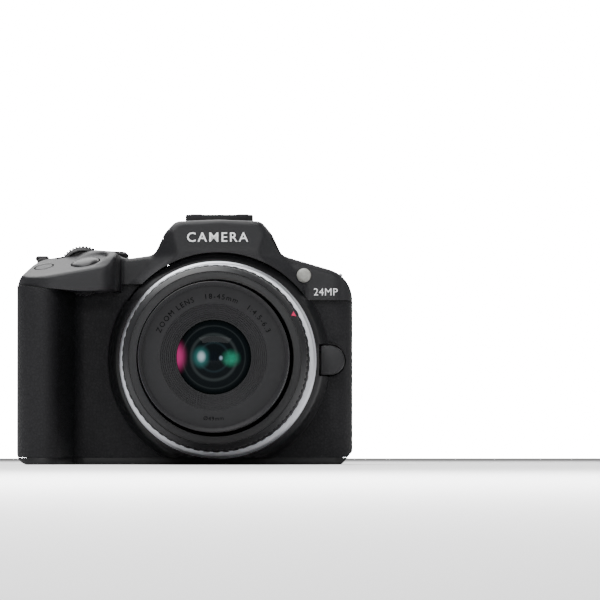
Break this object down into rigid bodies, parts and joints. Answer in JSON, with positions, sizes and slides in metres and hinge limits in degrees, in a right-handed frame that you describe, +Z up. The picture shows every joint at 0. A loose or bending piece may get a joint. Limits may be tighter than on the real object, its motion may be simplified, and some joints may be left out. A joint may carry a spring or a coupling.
{
  "type": "mirrorless camera",
  "caption": "Mirrorless camera with a grip, a viewfinder hump, a side-hinged rear screen, dials and a retracting zoom lens.",
  "frame": {"origin": "mouth of the tripod socket, in the base below the lens axis and in the sensor plane", "axes": "+Z up, the lens looks along -Y, +X towards the right of someone who faces the lens"},
  "size_m": [0.118, 0.1151, 0.0883],
  "materials": {
    "moulded_black": "fine moulded texture",
    "satin_cover": "satin paint",
    "leatherette": "grained skin",
    "silver_metal": "turned, satin",
    "steel": "brushed",
    "die_cast": "as cast",
    "screw_black": "black oxide",
    "contact_gold": "plated",
    "rubber_black": "matt",
    "lens_glass": "coated",
    "screen_gloss": "gloss",
    "lamp_diffuser": "frosted",
    "circuit": "solder mask",
    "inner_plastic": "moulded"
  },
  "bodies": {
    "camera_body": {"front_cover": "moulded_black", "top_cover": "satin_cover", "rear_cover": "moulded_black", "base_cover": "moulded_black", "grip_skin": "leatherette", "front_skin": "leatherette", "mount_ring": "steel", "screws": "screw_black", "body_contacts": "contact_gold", "chassis": "die_cast", "shutter_unit": "inner_plastic", "image_sensor": "circuit", "main_board": "circuit", "hot_shoe": "steel", "shoe_base": "moulded_black", "viewfinder_unit": "inner_plastic", "viewfinder_lens": "lens_glass", "eyecup": "rubber_black", "battery": "inner_plastic", "memory_card": "inner_plastic", "port_sockets": "steel", "strap_lugs": "steel", "af_lamp": "lamp_diffuser", "tripod_socket": "steel", "lens_mount": "steel", "silver_ring": "silver_metal", "base_barrel": "moulded_black", "iris_unit": "inner_plastic", "rear_glass": "lens_glass"},
    "flash": {"flash_head": "satin_cover", "flash_window": "lamp_diffuser"},
    "screen": {"screen_hinge": "moulded_black", "screen_panel": "moulded_black", "screen_glass": "screen_gloss"},
    "mode_dial": {"mode_dial": "moulded_black"},
    "main_dial": {"main_dial": "moulded_black"},
    "power_lever": {"power_lever": "moulded_black"},
    "shutter_button": {"shutter_button": "satin_cover"},
    "movie_button": {"movie_button": "satin_cover"},
    "iso_button": {"iso_button": "satin_cover"},
    "lens_release": {"release_button": "satin_cover", "lock_pin": "steel"},
    "menu_button": {"menu_button": "moulded_black"},
    "info_button": {"info_button": "moulded_black"},
    "play_button": {"play_button": "moulded_black"},
    "lock_button": {"lock_button": "moulded_black"},
    "point_button": {"point_button": "moulded_black"},
    "cross_pad": {"cross_pad": "moulded_black"},
    "set_button": {"set_button": "moulded_black"},
    "battery_door": {"battery_door": "moulded_black"},
    "door_latch": {"door_latch": "moulded_black"},
    "jack_cover": {"jack_cover": "rubber_black"},
    "port_cover": {"port_cover": "rubber_black"},
    "diopter_dial": {"diopter_dial": "moulded_black"},
    "zoom_ring": {"zoom_ring": "moulded_black", "cam_tube": "die_cast"},
    "control_ring": {"control_ring": "satin_cover"},
    "inner_barrel": {"inner_barrel": "satin_cover", "front_glass": "lens_glass"},
    "focus_cell": {"focus_cell": "inner_plastic"}
  },
  "joints": [
    {"name": "shutter_press", "type": "slide", "parent": "camera_body", "child": "shutter_button", "axis": [0.1663, 0.2873, -0.9433], "range_m": [0, 0.001], "stiffness_N_per_m": 250},
    {"name": "movie_press", "type": "slide", "parent": "camera_body", "child": "movie_button", "axis": [0.1663, 0.2873, -0.9433], "range_m": [0, 0.0006], "stiffness_N_per_m": 250},
    {"name": "iso_press", "type": "slide", "parent": "camera_body", "child": "iso_button", "axis": [0, 0, -1], "range_m": [0, 0.0006], "stiffness_N_per_m": 250},
    {"name": "release_press", "type": "slide", "parent": "camera_body", "child": "lens_release", "axis": [0, 1, 0], "range_m": [0, 0.0012], "stiffness_N_per_m": 400},
    {"name": "menu_press", "type": "slide", "parent": "camera_body", "child": "menu_button", "axis": [0, -1, 0], "range_m": [0, 0.0006], "stiffness_N_per_m": 200},
    {"name": "info_press", "type": "slide", "parent": "camera_body", "child": "info_button", "axis": [0, -1, 0], "range_m": [0, 0.0006], "stiffness_N_per_m": 200},
    {"name": "play_press", "type": "slide", "parent": "camera_body", "child": "play_button", "axis": [0, -1, 0], "range_m": [0, 0.0006], "stiffness_N_per_m": 200},
    {"name": "lock_press", "type": "slide", "parent": "camera_body", "child": "lock_button", "axis": [0, -1, 0], "range_m": [0, 0.0006], "stiffness_N_per_m": 200},
    {"name": "point_press", "type": "slide", "parent": "camera_body", "child": "point_button", "axis": [0, -1, 0], "range_m": [0, 0.0006], "stiffness_N_per_m": 200},
    {"name": "pad_press", "type": "slide", "parent": "camera_body", "child": "cross_pad", "axis": [0, -1, 0], "range_m": [0, 0.0006], "stiffness_N_per_m": 300},
    {"name": "set_press", "type": "slide", "parent": "camera_body", "child": "set_button", "axis": [0, -1, 0], "range_m": [0, 0.0006], "stiffness_N_per_m": 200},
    {"name": "latch_slide", "type": "slide", "parent": "battery_door", "child": "door_latch", "axis": [0, 1, 0], "range_m": [0, 0.0022], "stiffness_N_per_m": 60},
    {"name": "battery_door_hinge", "type": "hinge", "parent": "camera_body", "child": "battery_door", "pos_m": [0, 0.0084, 0.0012], "axis": [1, 0, 0], "range_deg": [0, 95]},
    {"name": "jack_cover_hinge", "type": "hinge", "parent": "camera_body", "child": "jack_cover", "pos_m": [0.04615, 0.0059, 0], "axis": [0, 0, -1], "range_deg": [0, 100]},
    {"name": "port_cover_hinge", "type": "hinge", "parent": "camera_body", "child": "port_cover", "pos_m": [-0.06875, 0.0055, 0], "axis": [0, 0, 1], "range_deg": [0, 100]},
    {"name": "diopter_turn", "type": "hinge", "parent": "camera_body", "child": "diopter_dial", "pos_m": [0, 0.0216, 0.0724], "axis": [1, 0, 0], "range_deg": [-120, 120]},
    {"name": "zoom_turn", "type": "hinge", "parent": "camera_body", "child": "zoom_ring", "pos_m": [0, 0, 0.0364], "axis": [0, 1, 0], "range_deg": [-75, 0]},
    {"name": "barrel_slide", "type": "slide", "parent": "camera_body", "child": "inner_barrel", "axis": [0, -1, 0], "range_m": [-0.02, 0]},
    {"name": "control_turn", "type": "hinge", "parent": "camera_body", "child": "control_ring", "pos_m": [0, 0, 0.0364], "axis": [0, 1, 0], "continuous": true},
    {"name": "main_dial_turn", "type": "hinge", "parent": "camera_body", "child": "main_dial", "pos_m": [-0.0473, 0, 0.0677], "axis": [0, 1, 0], "continuous": true},
    {"name": "mode_dial_turn", "type": "hinge", "parent": "camera_body", "child": "mode_dial", "pos_m": [-0.042, 0.0074, 0], "axis": [0, 0, 1], "continuous": true},
    {"name": "power_turn", "type": "hinge", "parent": "camera_body", "child": "power_lever", "pos_m": [-0.0596, 0.0036, 0], "axis": [0, 0, -1], "range_deg": [0, 40]},
    {"name": "flash_hinge", "type": "hinge", "parent": "camera_body", "child": "flash", "pos_m": [0, -0.0036, 0.0842], "axis": [-1, 0, 0], "range_deg": [0, 68]},
    {"name": "screen_swing", "type": "hinge", "parent": "camera_body", "child": "screen", "pos_m": [0.0443, 0.0179, 0], "axis": [0, 0, -1], "range_deg": [0, 175]},
    {"name": "focus_slide", "type": "slide", "parent": "camera_body", "child": "focus_cell", "axis": [0, -1, 0], "range_m": [0, 0.0024]}
  ],
  "couplings": [
    {"joint": "zoom_turn", "follows": "barrel_slide", "rad_per_m": 65.45}
  ]
}
